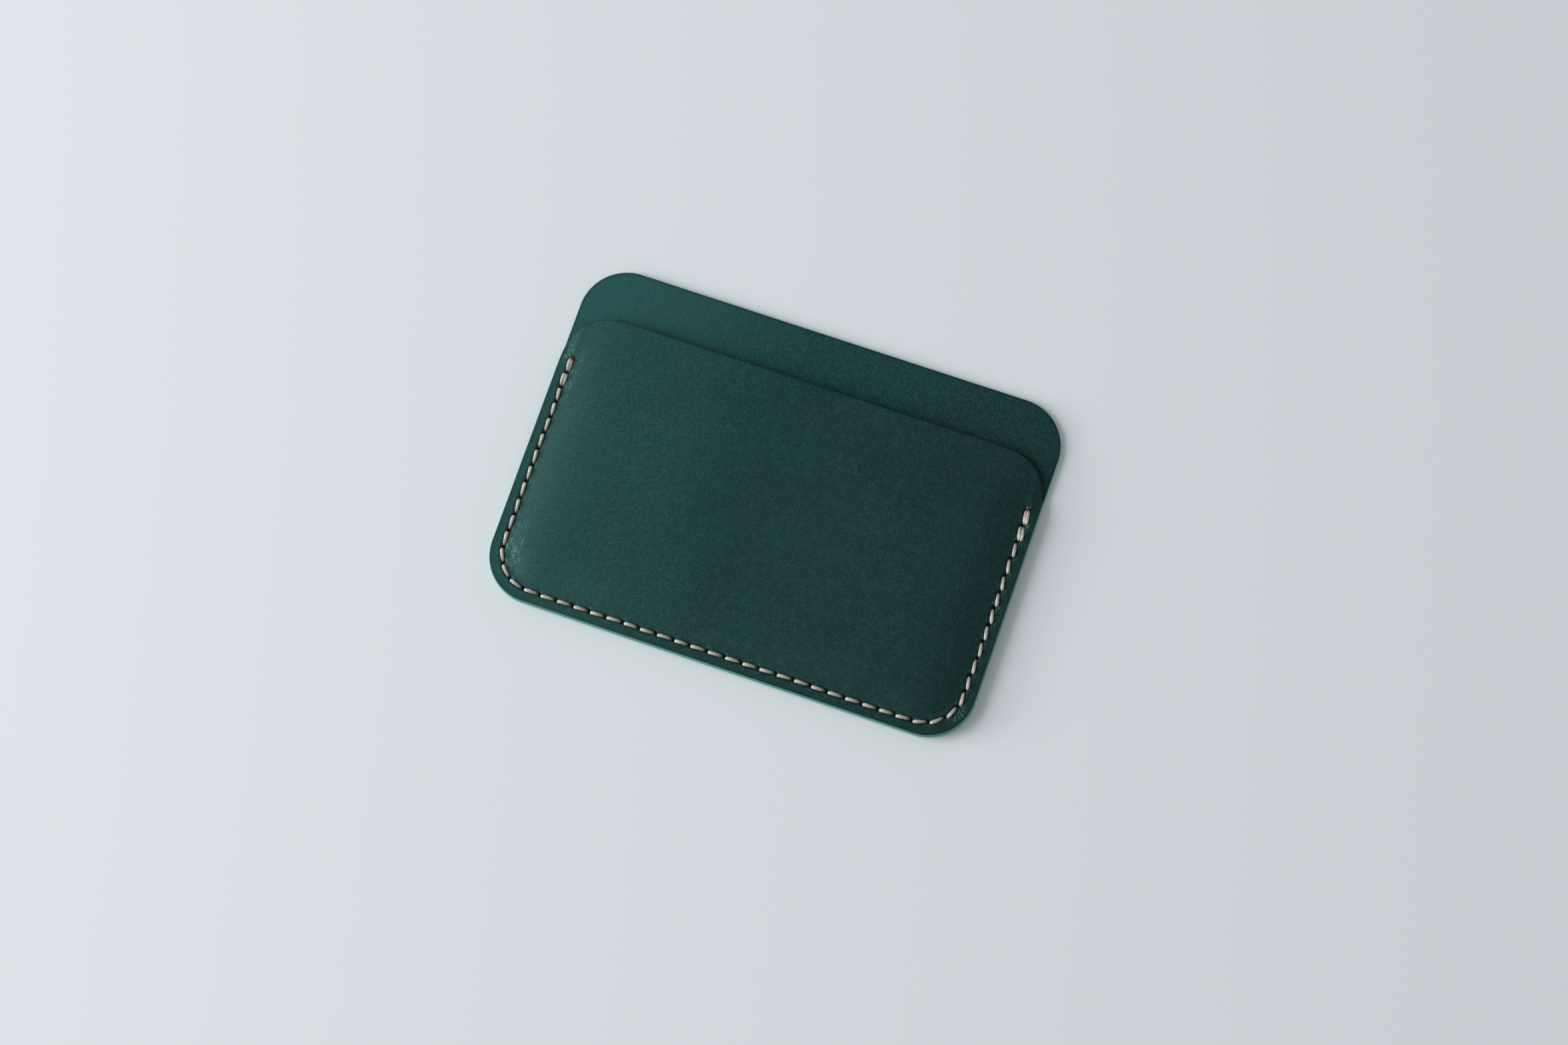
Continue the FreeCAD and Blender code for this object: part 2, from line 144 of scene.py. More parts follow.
def seam_point(along, out=0.0):
    """The place on the plane that has the given seam coordinates."""
    along, out = np.broadcast_arrays(np.asarray(along, float), np.asarray(out, float))
    x = -SEAM_SIDE - out
    y = SEAM_TOP - along
    for sign, start in ((-1, SIDE_LENGTH), (1, SIDE_LENGTH + ARC_LENGTH + BASE_LENGTH)):
        bend = along >= start
        turn = (along - start) / SEAM_RADIUS
        angle = (math.pi if sign < 0 else 1.5 * math.pi) + turn
        x = np.where(bend, sign * BEND_X + (SEAM_RADIUS + out) * np.cos(angle), x)
        y = np.where(bend, BEND_Y + (SEAM_RADIUS + out) * np.sin(angle), y)
        if sign < 0:
            base = along >= SIDE_LENGTH + ARC_LENGTH
            x = np.where(base, along - SIDE_LENGTH - ARC_LENGTH - BEND_X, x)
            y = np.where(base, SEAM_BOTTOM - out, y)
    climb = along >= SEAM_LENGTH - SIDE_LENGTH
    x = np.where(climb, SEAM_SIDE + out, x)
    y = np.where(climb, SEAM_TOP - SEAM_LENGTH + along, y)
    return x, y


# The slits were punched by hand, so they drift a little from an even pitch and cut the corners.
even = np.arange(STITCHES + 1) * PITCH
LEFT_BEND = SIDE_LENGTH + ARC_LENGTH / 2
RIGHT_BEND = SEAM_LENGTH - LEFT_BEND
UNEVEN_ALONG = 0.045
UNEVEN_OUT = 0.035
DRIFT = 0.9
LEFT_CUT = 0.24
RIGHT_CUT = 0.42
CUT_WIDTH = 5.5
slit_along = even + rng.normal(0, UNEVEN_ALONG, STITCHES + 1)
slit_along -= DRIFT * smooth(even, -3, 18) * (1 - smooth(even, 65, 125))
slit_out = rng.normal(0, UNEVEN_OUT, STITCHES + 1)
slit_out -= (LEFT_CUT * bell(even - LEFT_BEND, CUT_WIDTH)
             + RIGHT_CUT * bell(even - RIGHT_BEND, CUT_WIDTH))
slit_along[0], slit_out[0] = 0.34, -0.08
slit_along[1] = PITCH
slit_out[STITCHES] = 0.05

# Each front stitch starts at the outer end of one slit and ends at the inner end of the next.
START_GAP = 0.30
END_GAP = 0.60
slant = 0.07 + 0.15 * smooth(even, SEAM_LENGTH - SIDE_LENGTH - 18, SEAM_LENGTH - SIDE_LENGTH)
stitch_start = np.stack([slit_along[:-1] + START_GAP, slit_out[:-1] + slant[:-1]], 1)
stitch_end = np.stack([slit_along[1:] - END_GAP, slit_out[1:] - slant[1:]], 1)

# A slit slants across the seam, and its middle lies a little before the stitch's mark.
SLIT_SHIFT = 0.2
SLIT_HALF = 0.2
SLIT_INNER = 0.16
SLIT_OUTER = 0.06

# The first and last two stitches were sewn twice: the middle of the pair, and half its spread.
pair_middle = np.zeros(STITCHES)
pair_half = np.zeros(STITCHES)
DOUBLED = (0, 1, STITCHES - 2, STITCHES - 1)
pair_middle[list(DOUBLED)] = (-0.02, 0.05, 0.12, 0.08)
pair_half[list(DOUBLED)] = (0.17, 0.26, 0.32, 0.25)


def nearest_stitch(along, out):
    """Distance to the nearest front stitch, its number, and how far along it."""
    best = np.full(along.shape, 99.0)
    which = np.zeros(along.shape, int)
    place = np.zeros(along.shape)
    guess = np.floor(along / PITCH).astype(int)
    for step in (-1, 0, 1):
        number = np.clip(guess + step, 0, STITCHES - 1)
        start, end = stitch_start[number], stitch_end[number]
        distance, t = segment_distance(along, out - pair_middle[number], start[..., 0],
                                       start[..., 1], end[..., 0], end[..., 1])
        distance = np.maximum(distance - pair_half[number], 0)
        nearer = distance < best
        best = np.where(nearer, distance, best)
        which = np.where(nearer, number, which)
        place = np.where(nearer, t, place)
    return best, which, place


def nearest_slit(along, out):
    """Distance to the nearest slanted slit and its number."""
    best = np.full(along.shape, 99.0)
    which = np.zeros(along.shape, int)
    for step in (-1, 0, 1):
        number = np.clip(np.round(along / PITCH).astype(int) + step, 0, STITCHES)
        middle = slit_along[number] - SLIT_SHIFT
        distance, _ = segment_distance(
            along, out, middle - SLIT_HALF, slit_out[number] - SLIT_INNER,
            middle + SLIT_HALF, slit_out[number] + SLIT_OUTER)
        nearer = distance < best
        best = np.where(nearer, distance, best)
        which = np.where(nearer, number, which)
    return best, which


SEWN_FADE = 1.2


def sewn(along, reach):
    """1 along the seam, fading to 0 beyond reach past each of its ends."""
    fade = reach + SEWN_FADE
    before = smooth(along, -fade, -reach)
    return before * (1 - smooth(along, SEAM_LENGTH + reach, SEAM_LENGTH + fade))


def around_slit(along, out, number):
    """The direction from the slit, for creases that radiate from it, and where they show, as
    raised puckers and as painted highlights on them.
    """
    across, beside = along - slit_along[number], out - slit_out[number]
    reach = np.maximum(np.hypot(across, beside), 1e-3)
    direction = np.stack([across / reach, beside / reach, number * 3.7 + reach * 0.9], -1)
    return direction, bell(reach - 0.68, 0.36) * (0.55 + 0.45 * smooth(-beside, -0.3, 0.3))


# ---------------------------------------------------------------- surfaces of the leather

MOULD_CORNER = 12.0
MOULD_FOOT = 2.75
MOULD_RUN = 4.4
MOULD_SIDE_FALL = 0.12
MOULD_MOUTH_FALL = 0.45
MOULD_MOUTH_RUN = 18


def mould_inset(x, y):
    """Distance in from the sides and the bottom, with well rounded lower corners."""
    qx = np.abs(x) - (SIDE - MOULD_CORNER)
    qy = -y - (-BOTTOM - MOULD_CORNER)
    rounded = MOULD_CORNER - np.hypot(np.maximum(qx, 0), np.maximum(qy, 0))
    return rounded - np.minimum(np.maximum(qx, qy), 0)


def mould(x, y):
    """How far the front panel is moulded out of its flat margin."""
    climb = np.maximum(mould_inset(x, y) - MOULD_FOOT, 0) / MOULD_RUN
    rise = RISE * (1 - MOULD_SIDE_FALL * smooth(np.abs(x), 5, SIDE))
    rise = rise * (1 - MOULD_MOUTH_FALL * smooth(y, MOUTH - MOULD_MOUTH_RUN, MOUTH))
    return rise * (1 - np.exp(-climb ** 1.35))


# Where along the seam the lower left and lower right corners are creased.
LEFT_CREASED = SIDE_LENGTH + 0.1 * ARC_LENGTH
LEFT_CREASED_WIDTH = 5.0
RIGHT_CREASED = RIGHT_BEND + 2.9


def corner_zone(along, out):
    """Where the leather shows fine pale creases, partly scuffed leather and partly painted
    highlight: at both lower corners and both seam ends.
    """
    left = bell(along - LEFT_CREASED, LEFT_CREASED_WIDTH) * smooth(-out, 0.3, 0.9)
    left = left * (1 - smooth(-out, 2.8, 4.6))
    left_end = bell(along + 0.6, 1.6) * bell(out - 1.0, 0.8)
    foot = 0.55 * bell(along - 3.0, 4.0) * smooth(-out, 0.3, 0.8) * (1 - smooth(-out, 1.6, 3.0))
    right_end = bell(along - SEAM_LENGTH + 3.0, 2.2) * bell(out - 0.80, 0.32) * 0.9
    right_bend = bell(along - RIGHT_CREASED, 1.3) * bell(out - 1.0, 0.5) * 1.3
    return np.clip(left + left_end + foot + right_end + right_bend, 0, 1)


def crease_direction(along, out):
    """Along and across the fine creases: beside the seam on the left, slanting on the right."""
    slanting = along > SEAM_LENGTH / 2
    u = np.where(slanting, 0.86 * out - 0.5 * along, along)
    v = np.where(slanting, 0.5 * out + 0.86 * along, out)
    return np.stack([u, v, 0 * along], -1)


def corner_wrinkles(x, y):
    """Fine creases that run beside the seam inside the lower corners, and a few outside."""
    along, out = seam_coordinates(x, y)
    wander = value_noise(x, y, 2.6, 71, 2)
    long = ridges((out + 0.10 * (along - SIDE_LENGTH) + 0.42 * wander) / 0.62)
    left = bell(along - LEFT_CREASED, LEFT_CREASED_WIDTH) * smooth(-out, 0.5, 1.0)
    left = left * (1 - smooth(-out, 1.9, 2.6)) * smooth(value_noise(x, y, 1.5, 75, 2), -0.3, 0.3)
    short = ridges((0.8 * out + 0.6 * (along - RIGHT_BEND) + 0.2 * wander) / 0.42)
    right = bell(along - RIGHT_CREASED, 1.5) * bell(out - 0.95, 0.45)
    outside = bell(along - LEFT_BEND + 2.4, 3.4) * bell(out - 1.0, 0.4) * 0.6
    return long * left + short * (right + outside)


SHOULDER_PARED = 0.95


def shoulder_taper(x, y):
    """The front panel is pared thin where its shoulders run out into the sides."""
    tip = MOUTH - CORNER
    beside = smooth(np.abs(x), SIDE - 3.0, SIDE - 0.2)
    return beside * SHOULDER_PARED * smooth(y, tip - 3.0, tip + 3.5)


# Depths of the hollows in the front panel's outside, and how wide they are.
SEAM_DRAW, SEAM_DRAW_WIDTH = 0.08, 1.1
BED_START, BED_DEEPENS, BED_WIDTH = 0.14, 0.2, 0.40
LIP_HEIGHT, LIP_REACH, LIP_WIDTH = 0.04, 0.8, 0.25
SLIT_DEPTH, SLIT_WIDTH = 0.75, 0.25
# Heights of its creases and of its slow unevenness.
PUCKER_HEIGHT = 0.05
WRINKLE_HEIGHT = 0.06
WAVE_HEIGHT = 0.04


def front_top(x, y):
    """Height of the outside of the front panel."""
    along, out = seam_coordinates(x, y)
    stitch, _, place = nearest_stitch(along, out)
    slit, number = nearest_slit(along, out)
    height = FRONT_FACE + mould(x, y) - shoulder_taper(x, y)
    height = height - SEAM_DRAW * bell(out, SEAM_DRAW_WIDTH) * sewn(along, 0.4)
    bed, lip = bell(stitch, BED_WIDTH), bell(stitch - LIP_REACH, LIP_WIDTH)
    height = height - (BED_START + BED_DEEPENS * place) * bed + LIP_HEIGHT * lip
    height = height - SLIT_DEPTH * bell(slit, SLIT_WIDTH)
    _, puckered = around_slit(along, out, number)
    height = height + PUCKER_HEIGHT * puckered * value_noise(x, y, 0.45, 57)
    height = height + WRINKLE_HEIGHT * corner_wrinkles(x, y)
    return height + WAVE_HEIGHT * value_noise(x, y, 19, 31, 2) * smooth(-out, 1, 6)


def front_under(x, y):
    return SEAM_LEVEL + mould(x, y)


def back_top(x, y):
    return BACK_FACE + 0 * x


# How far the rear face is drawn in along the seam, so that the rear stitches lie flush.
REAR_DEPTH = 0.52
REAR_HALF_WIDTH = 0.72


def back_under(x, y):
    """The flat rear face, drawn in along the seam where the rear stitches lie."""
    along, out = seam_coordinates(x, y)
    slit, _ = nearest_slit(along, out)
    drawn_in = REAR_DEPTH * bell(out, REAR_HALF_WIDTH) + 0.35 * bell(slit, 0.3)
    return sewn(along, 0.2) * drawn_in


# ---------------------------------------------------------------- meshes of the leather

FINE_STEP = 0.17
SHOULDER_STEP = 0.3
OPEN_STEP = 0.5
ROUND_TOP = 0.24
ROUND_FLESH = 0.16
ROUND_FREE = 0.30
ROUND_GLUED = 0.07
EDGE_BULGE = 0.05
EDGE_BAND = 0.25
LINE_INSET, LINE_WIDTH, LINE_STRENGTH = 0.32, 0.08, 0.6
# The painted highlights on the puckers fade out by this distance along the seam, just past its
# last slit.
PUCKER_HIGHLIGHT_END = 185.0


def add_piece(name, points, faces, fields=None, rounded=True):
    """A mesh object from points in millimetres, with named values painted on its points."""
    mesh = bpy.data.meshes.new(name)
    mesh.from_pydata((points * MM).tolist(), [], faces)
    mesh.polygons.foreach_set("use_smooth", [rounded] * len(mesh.polygons))
    for key, values in (fields or {}).items():
        kind, entry = ("FLOAT_VECTOR", "vector") if values.ndim == 2 else ("FLOAT", "value")
        layer = mesh.attributes.new(key, kind, "POINT")
        layer.data.foreach_set(entry, values.astype(np.float32).ravel())
    mesh.update()
    piece = bpy.data.objects.new(name, mesh)
    bpy.context.scene.collection.objects.link(piece)
    return piece


def outline_inset(x, y, low, high):
    """Distance in from a panel's rounded outline."""
    qx = np.abs(x) - (SIDE - CORNER)
    qy = np.abs(y - (low + high) / 2) - ((high - low) / 2 - CORNER)
    rounded = CORNER - np.hypot(np.maximum(qx, 0), np.maximum(qy, 0))
    return rounded - np.minimum(np.maximum(qx, qy), 0)


def outline(low, high):
    """Points round a panel's outline, and their outward normals, anticlockwise."""
    points, normals = [], []
    middle = SIDE - CORNER
    corners = (((middle, high - CORNER), 0, SHOULDER_STEP, OPEN_STEP),
               ((-middle, high - CORNER), 90, SHOULDER_STEP, FINE_STEP),
               ((-middle, low + CORNER), 180, FINE_STEP, FINE_STEP),
               ((middle, low + CORNER), 270, FINE_STEP, FINE_STEP))
    for number, (centre, start, step, straight_step) in enumerate(corners):
        centre = np.array(centre)
        count = int(math.ceil(math.pi / 2 * CORNER / step))
        for angle in np.radians(start + 90 * np.arange(count) / count):
            normal = np.array([math.cos(angle), math.sin(angle)])
            points.append(centre + CORNER * normal)
            normals.append(normal)
        angle = math.radians(start + 90)
        normal = np.array([round(math.cos(angle)), round(math.sin(angle))])
        begin = centre + CORNER * normal
        finish = np.array(corners[(number + 1) % 4][0]) + CORNER * normal
        count = int(math.ceil(np.linalg.norm(finish - begin) / straight_step))
        for t in np.arange(count) / count:
            points.append(begin + (finish - begin) * t)
            normals.append(normal)
    return np.array(points), np.array(normals)


GRID_GAP = 0.6


def interior_points(ring, spacing):
    """A grid of points across the box of a closed ring of points."""
    low, high = ring.min(0), ring.max(0)
    counts = np.ceil((high - low) / spacing).astype(int)
    xs = np.linspace(low[0], high[0], counts[0] + 1)[1:-1]
    ys = np.linspace(low[1], high[1], counts[1] + 1)[1:-1]
    grid_x, grid_y = np.meshgrid(xs, ys)
    return np.stack([grid_x.ravel(), grid_y.ravel()], 1)


def panel_mesh(name, low, high, top, under, insets, under_insets, profile, spacing, paint):
    """A closed leather panel: rings round its outline, and triangles across its middle.

    insets and under_insets are the rings of the two faces, from the edge inwards. profile lists
    the edge's own rings as (inset, distance below the top, or above the underside if negative).
    """
    base, normals = outline(low, high)
    count = len(base)
    rings, levels = [], []
    for inset in reversed(under_insets):
        rings.append(base - normals * inset)
        levels.append(under(*rings[-1].T))
    face = base - normals * ROUND_TOP
    # Where the top is pared thinner than a ring's drop, at the front panel's shoulders, the ring
    # dips below the underside, into the back panel.
    for inset, drop in profile:
        surface = top if drop >= 0 else under
        rings.append(base - normals * inset)
        levels.append(surface(*face.T) - drop)
    for inset in insets:
        rings.append(base - normals * inset)
        levels.append(top(*rings[-1].T))
    index = np.arange(len(rings) * count).reshape(len(rings), count)
    following = np.roll(index, -1, axis=1)
    faces = np.stack([index[:-1], following[:-1], following[1:], index[1:]], 2)
    faces = faces.reshape(-1, 4).tolist()
    points = np.concatenate([np.column_stack([p, z]) for p, z in zip(rings, levels)])
    first_top = len(under_insets) + len(profile) - 1
    is_top = np.repeat(np.arange(len(rings)) >= first_top, count)

    # Across the middle of each face, a grid of points is joined to the innermost ring.
    rim_edges = [(i, (i + 1) % count) for i in range(count)]
    for ring, inset, height, upward in ((0, under_insets[-1], under, False),
                                        (len(rings) - 1, insets[-1], top, True)):
        inner = interior_points(rings[ring], spacing)
        inner = inner[outline_inset(*inner.T, low, high) > inset + spacing * GRID_GAP]
        corners = [Vector(p) for p in np.concatenate([rings[ring], inner])]
        _, _, cells, origins = delaunay_2d_cdt(corners, rim_edges, [], 1, 1e-7)[:4]
        place = np.array([origin[0] for origin in origins])
        first = len(points)
        numbers = np.where(place < count, ring * count + place, first + place - count)
        points = np.concatenate([points, np.column_stack([inner, height(*inner.T)])])
        is_top = np.concatenate([is_top, np.full(len(inner), upward)])
        cells = numbers[np.array(cells)]
        faces += (cells if upward else cells[:, ::-1]).tolist()
    return add_piece(name, points, faces, paint(points, is_top))


def edge_rings(top_radius, under_radius):
    """The profile of a dressed leather edge, from the underside up to the top face."""
    rings = []
    for turn in np.radians((15, 45, 75)):
        rings.append((under_radius * (1 - math.sin(turn)), -under_radius * (1 - math.cos(turn))))
    sides = 4
    for step in range(sides):
        part = step / (sides - 1)
        drop = LEATHER - under_radius - part * (LEATHER - under_radius - top_radius)
        rings.append((-EDGE_BULGE * math.sin(math.pi * part), drop))
    for turn in np.radians((22, 45, 68)):
        rings.append((top_radius * (1 - math.cos(turn)), top_radius * (1 - math.sin(turn))))
    return rings


def edge_line(inset, is_top):
    """The thin dark line of painted shade just in from the edge of a top face."""
    return bell(inset - LINE_INSET, LINE_WIDTH) * is_top * LINE_STRENGTH


def edge_strength(x, y):
    """The edge paint is thin and dull along the upper left side."""
    return 1 - 0.5 * smooth(-x, SIDE - 6, SIDE - 0.5) * smooth(y, -18, -8)


def paint_front(points, is_top):
    """The values that the leather material reads at each point of the front panel."""
    x, y, z = points.T
    along, out = seam_coordinates(x, y)
    stitch, _, place = nearest_stitch(along, out)
    slit, number = nearest_slit(along, out)
    inset = outline_inset(x, y, BOTTOM, MOUTH)
    depth = FRONT_FACE + mould(x, y) - shoulder_taper(x, y) - z
    at_mouth = smooth(y, MOUTH - CORNER, MOUTH - CORNER + 3)
    on_edge = np.where(is_top, 0, (inset < EDGE_BAND) * smooth(depth, 0.02, 0.10))
    on_edge = on_edge * (1 - at_mouth)
    # Painted shade: a thin dark line in from the edge, and a line along the mouth that is darker
    # towards the right, away from the light.
    rim_shade = edge_line(inset, is_top) * (1 - at_mouth)
    rim_shade = np.maximum(rim_shade, at_mouth * (inset < 0.26) * (0.35 + 0.4 * smooth(x, -SIDE, SIDE)))
    direction, near_slit = around_slit(along, out, number)
    # Painted shade in the slits and along the beds of the stitches, deeper towards each stitch's
    # end.
    hole_shade = bell(slit, 0.30) * 1.9 + (0.3 + 0.4 * place) * bell(stitch, 0.42)
    painted = smooth(depth, 0.12, 0.3) * (1 - smooth(depth, 1.0, 1.2))
    sewn_here = smooth(along, -1, 0) * (1 - smooth(along, SEAM_LENGTH, PUCKER_HIGHLIGHT_END))
    return {
        "edge": on_edge * edge_strength(x, y),
        "rim_shade": rim_shade,
        "hole_shade": np.clip(hole_shade, 0, 1) * is_top,
        "scuff_and_highlight": np.clip(corner_wrinkles(x, y), 0, 1) * is_top,
        "flesh": np.where(is_top, 0.0, (inset > 0.4) * 1.0),
        "shade": np.where(on_edge > 0, painted, 0),
        "pucker_highlight": near_slit * is_top * sewn_here,
        "ray": direction,
        "seam": crease_direction(along, out),
        "corner": corner_zone(along, out) * is_top,
    }


def paint_back(points, is_top):
    """The same values for the back panel, whose top is the flesh side."""
    x, y, z = points.T
    along, out = seam_coordinates(x, y)
    slit, _ = nearest_slit(along, out)
    inset = outline_inset(x, y, BOTTOM, TOP)
    on_edge = np.where((inset < EDGE_BAND) & ~is_top, smooth(BACK_FACE - z, 0.01, 0.07), 0)
    under = ~is_top & (z < 0.7) & (inset > 0.3) & (along > -0.8) & (along < SEAM_LENGTH + 0.8)
    return {
        "edge": on_edge * edge_strength(x, y),
        # Painted shade darkens the lowest part of the back panel's edge, by the floor.
        "rim_shade": np.maximum(edge_line(inset, is_top), on_edge * (1 - smooth(z, 0.05, 0.22))),
        # Painted shade in the slits and along the groove of the rear seam.
        "hole_shade": np.where(under, np.clip(bell(slit, 0.36) + 0.5 * bell(out, 0.6), 0, 1), 0),
        "scuff_and_highlight": 0 * x,
        "flesh": np.where(is_top, 1.0, 0.0),
        "shade": 0 * x,
        "pucker_highlight": 0 * x,
        "ray": np.stack([x, y, z], -1),
        "seam": np.stack([0.775 * x - 0.59 * y, 0.59 * x + 0.775 * y, z], -1),
        "corner": 0 * x,
    }


def make_front_leather():
    insets = [0.24, 0.32, 0.42, 0.6, 0.85, 1.1] + list(np.arange(1.3, 3.5, 0.137))
    insets += list(np.arange(3.65, 4.9, 0.17)) + [5.1, 5.5, 6.1, 6.9]
    under_insets = [ROUND_GLUED + 0.02, 0.8, 2.4, 4.6, 7.0]
    return panel_mesh("front_leather", BOTTOM, MOUTH, front_top, front_under, insets,
                      under_insets, edge_rings(ROUND_TOP, ROUND_GLUED), 1.1, paint_front)


def make_back_leather():
    insets = [0.24, 0.34, 0.6, 1.0, 1.6, 2.6, 4.2, 6.4]
    under_insets = [ROUND_FREE + 0.04, 0.5, 0.8] + list(np.arange(1.1, 3.7, 0.2))
    under_insets += [4.2, 5.0, 6.4]
    return panel_mesh("back_leather", BOTTOM, TOP, back_top, back_under, insets,
                      under_insets, edge_rings(ROUND_FLESH, ROUND_FREE), 1.4, paint_back)


# ---------------------------------------------------------------- thread

ALONG_THREAD = 0.12
AROUND_THREAD = 20
PLIES = 4
TIGHT_TWIST = 2.5
LOOSE_TWIST = 6.5
PLY_GROOVE = 0.06


def bspline(points, step):
    """A smooth line that follows control points, sampled about every step."""
    points = np.concatenate([points[:1], points[:1], points, points[-1:], points[-1:]])
    out = []
    for a, b, c, d in zip(points, points[1:], points[2:], points[3:]):
        count = max(2, int(math.ceil(np.linalg.norm((c - b)[:3]) / step)))
        t = (np.arange(count) / count)[:, None]
        out.append(((1 - t) ** 3 * a + (3 * t ** 3 - 6 * t ** 2 + 4) * b
                    + (-3 * t ** 3 + 3 * t ** 2 + 3 * t + 1) * c + t ** 3 * d) / 6)
    line = np.concatenate(out)
    keep = np.concatenate([[True], np.linalg.norm(np.diff(line[:, :3], axis=0), axis=1) > 1e-4])
    return line[keep]


def thread_mesh(name, lines):
    """A twisted four-ply thread along each line, whose points are (x, y, z, girth, painted
    shade).
    """
    all_points, all_faces, ply_shade, fibre, thread_shade = [], [], [], [], []
    offset = 0
    for path in lines:
        line, girth = path[:, :3], path[:, 3:4]
        tangent = np.gradient(line, axis=0)
        tangent /= np.linalg.norm(tangent, axis=1)[:, None]
        side = np.cross(tangent[0], [0.3, 0.2, 0.9])
        side /= np.linalg.norm(side)
        sides = []
        for direction in tangent:
            side = side - direction * side.dot(direction)
            side = side / np.linalg.norm(side)
            sides.append(side)
        sides = np.array(sides)
        ups = np.cross(tangent, sides)
        steps = np.linalg.norm(np.diff(line, axis=0), axis=1)
        lengths = np.concatenate([[0], np.cumsum(steps)])
        loose = smooth(line[:-1, 0], 25, 44)
        turns = steps / (TIGHT_TWIST + (LOOSE_TWIST - TIGHT_TWIST) * loose)
        wobble = 0.3 * np.sin(lengths / 2.3) + 0.25 * np.sin(lengths / 0.9 + 1.3)
        turn = 2 * math.pi * np.concatenate([[0], np.cumsum(turns)]) + wobble
        angle = np.linspace(0, 2 * math.pi, AROUND_THREAD, endpoint=False)
        around = angle[None, :] - turn[:, None]
        ridge = np.abs(np.cos(PLIES / 2 * around))
        radius = girth * (THREAD_RADIUS - PLY_GROOVE * (1 - ridge))
        ring = (line[:, None, :]
                + sides[:, None, :] * (radius * np.cos(angle))[..., None]
                + ups[:, None, :] * (radius * np.sin(angle))[..., None])
        flat = 1 - 0.14 * smooth(1 - np.abs(tangent[:, 2]), 0.5, 0.95)
        ring[..., 2] = line[:, None, 2] + (ring[..., 2] - line[:, None, 2]) * flat[:, None]
        count = len(line)
        all_points.append(ring.reshape(-1, 3))
        ply_shade.append(ridge.ravel())
        thread_shade.append(np.repeat(path[:, 4], AROUND_THREAD))
        fibre.append(np.stack([np.cos(around), np.sin(around),
                               np.broadcast_to(lengths[:, None] * 0.35, around.shape)],
                              2).reshape(-1, 3))
        index = offset + np.arange(count * AROUND_THREAD).reshape(count, AROUND_THREAD)
        following = np.roll(index, -1, axis=1)
        all_faces += np.stack([index[:-1], following[:-1], following[1:], index[1:]],
                              2).reshape(-1, 4).tolist()
        all_faces += [index[0][::-1].tolist(), index[-1].tolist()]
        offset += count * AROUND_THREAD
    fields = {"ply": ply_shade, "thread_shade": thread_shade, "fibre": fibre}
    fields = {key: np.concatenate(values) for key, values in fields.items()}
    return add_piece(name, np.concatenate(all_points), all_faces, fields)


FRONT_LINE = FRONT_FACE + 0.02
REAR_LINE = THREAD_RADIUS + 0.02
HUMP = 0.2


def place_at(along, out, z, girth=1.0, thread_shade=0.0):
    """A control point of a thread, from its place on the seam."""
    x, y = seam_point(along, out)
    return np.array([float(x), float(y), z, girth, thread_shade])


def front_run(number, side=0):
    """Control points of one front stitch, up out of a slit, over a hump and down into the next.

    side is -1 or 1 for the two strands of a doubled stitch, which close up at its ends.
    """
    a_along, a_out = stitch_start[number]
    b_along, b_out = stitch_end[number]
    lean = rng.normal(0, 0.025)
    hump = HUMP * rng.uniform(0.75, 1.2)
    spread = 0.07 * side * (pair_half[number] < 0.3)
    # Painted shade is full on the stitches along the bottom and weaker on those up the sides.
    shade_strength = 1.0 if LEFT_BEND < a_along < RIGHT_BEND else 0.6
    # Each step is the place along the stitch, the height, the girth and the painted shade, which
    # darkens the thread where it dives into a slit.
    steps = ((-0.01, -1.0, 0.8, 0.8), (0.0, -0.45, 0.9, 0.3), (0.02, 0.0, 1.02, 0.1),
             (0.13, 0.05 + hump * 0.9, 1.08, 0), (0.32, 0.03 + hump * 0.75, 1.1, 0.1 * shade_strength),
             (0.55, 0.02 + hump * 0.2, 1.04, 0.42 * shade_strength), (0.78, -0.07, 0.98, 0.66 * shade_strength),
             (0.90, -0.26, 0.9, 0.95), (0.95, -0.75, 0.8, 1), (0.955, -1.2, 0.7, 1))
    points = []
    double = pair_half[number] > 0
    for t, lift, girth, thread_shade in steps:
        along = a_along + (b_along - a_along) * t
        open_up = 0.68 + 0.32 * math.sin(math.pi * min(max(t, 0), 1)) ** 0.6
        girth = max(girth, 0.95) if double else girth
        out = a_out + (b_out - a_out) * t + lean * math.sin(math.pi * t)
        out += pair_middle[number] + side * pair_half[number] * open_up
        points.append(place_at(along, out, FRONT_LINE + lift + spread, girth, thread_shade))
    return points


def rear_place(slit, side):
    """Where a rear stitch starts (side -1) or ends (side 1) at a slit."""
    return np.array([slit_along[slit] - 0.18 * side, slit_out[slit] + 0.27 * side])


def rear_run(start, end):
    """Control points of one rear stitch between two (along, out) places, flush in the groove,
    painted in shade where it rises into the slits.
    """
    points = []
    for t, lift in ((-0.01, 0.85), (0.0, 0.5), (0.04, 0.06), (0.3, 0.0), (0.5, 0.0), (0.7, 0.0),
                    (0.96, 0.06), (1.0, 0.5), (1.01, 0.85)):
        along = start[0] + (end[0] - start[0]) * t
        out = start[1] + (end[1] - start[1]) * t
        points.append(place_at(along, out, REAR_LINE + lift, 1.0, float(lift > 0.3)))
    return points


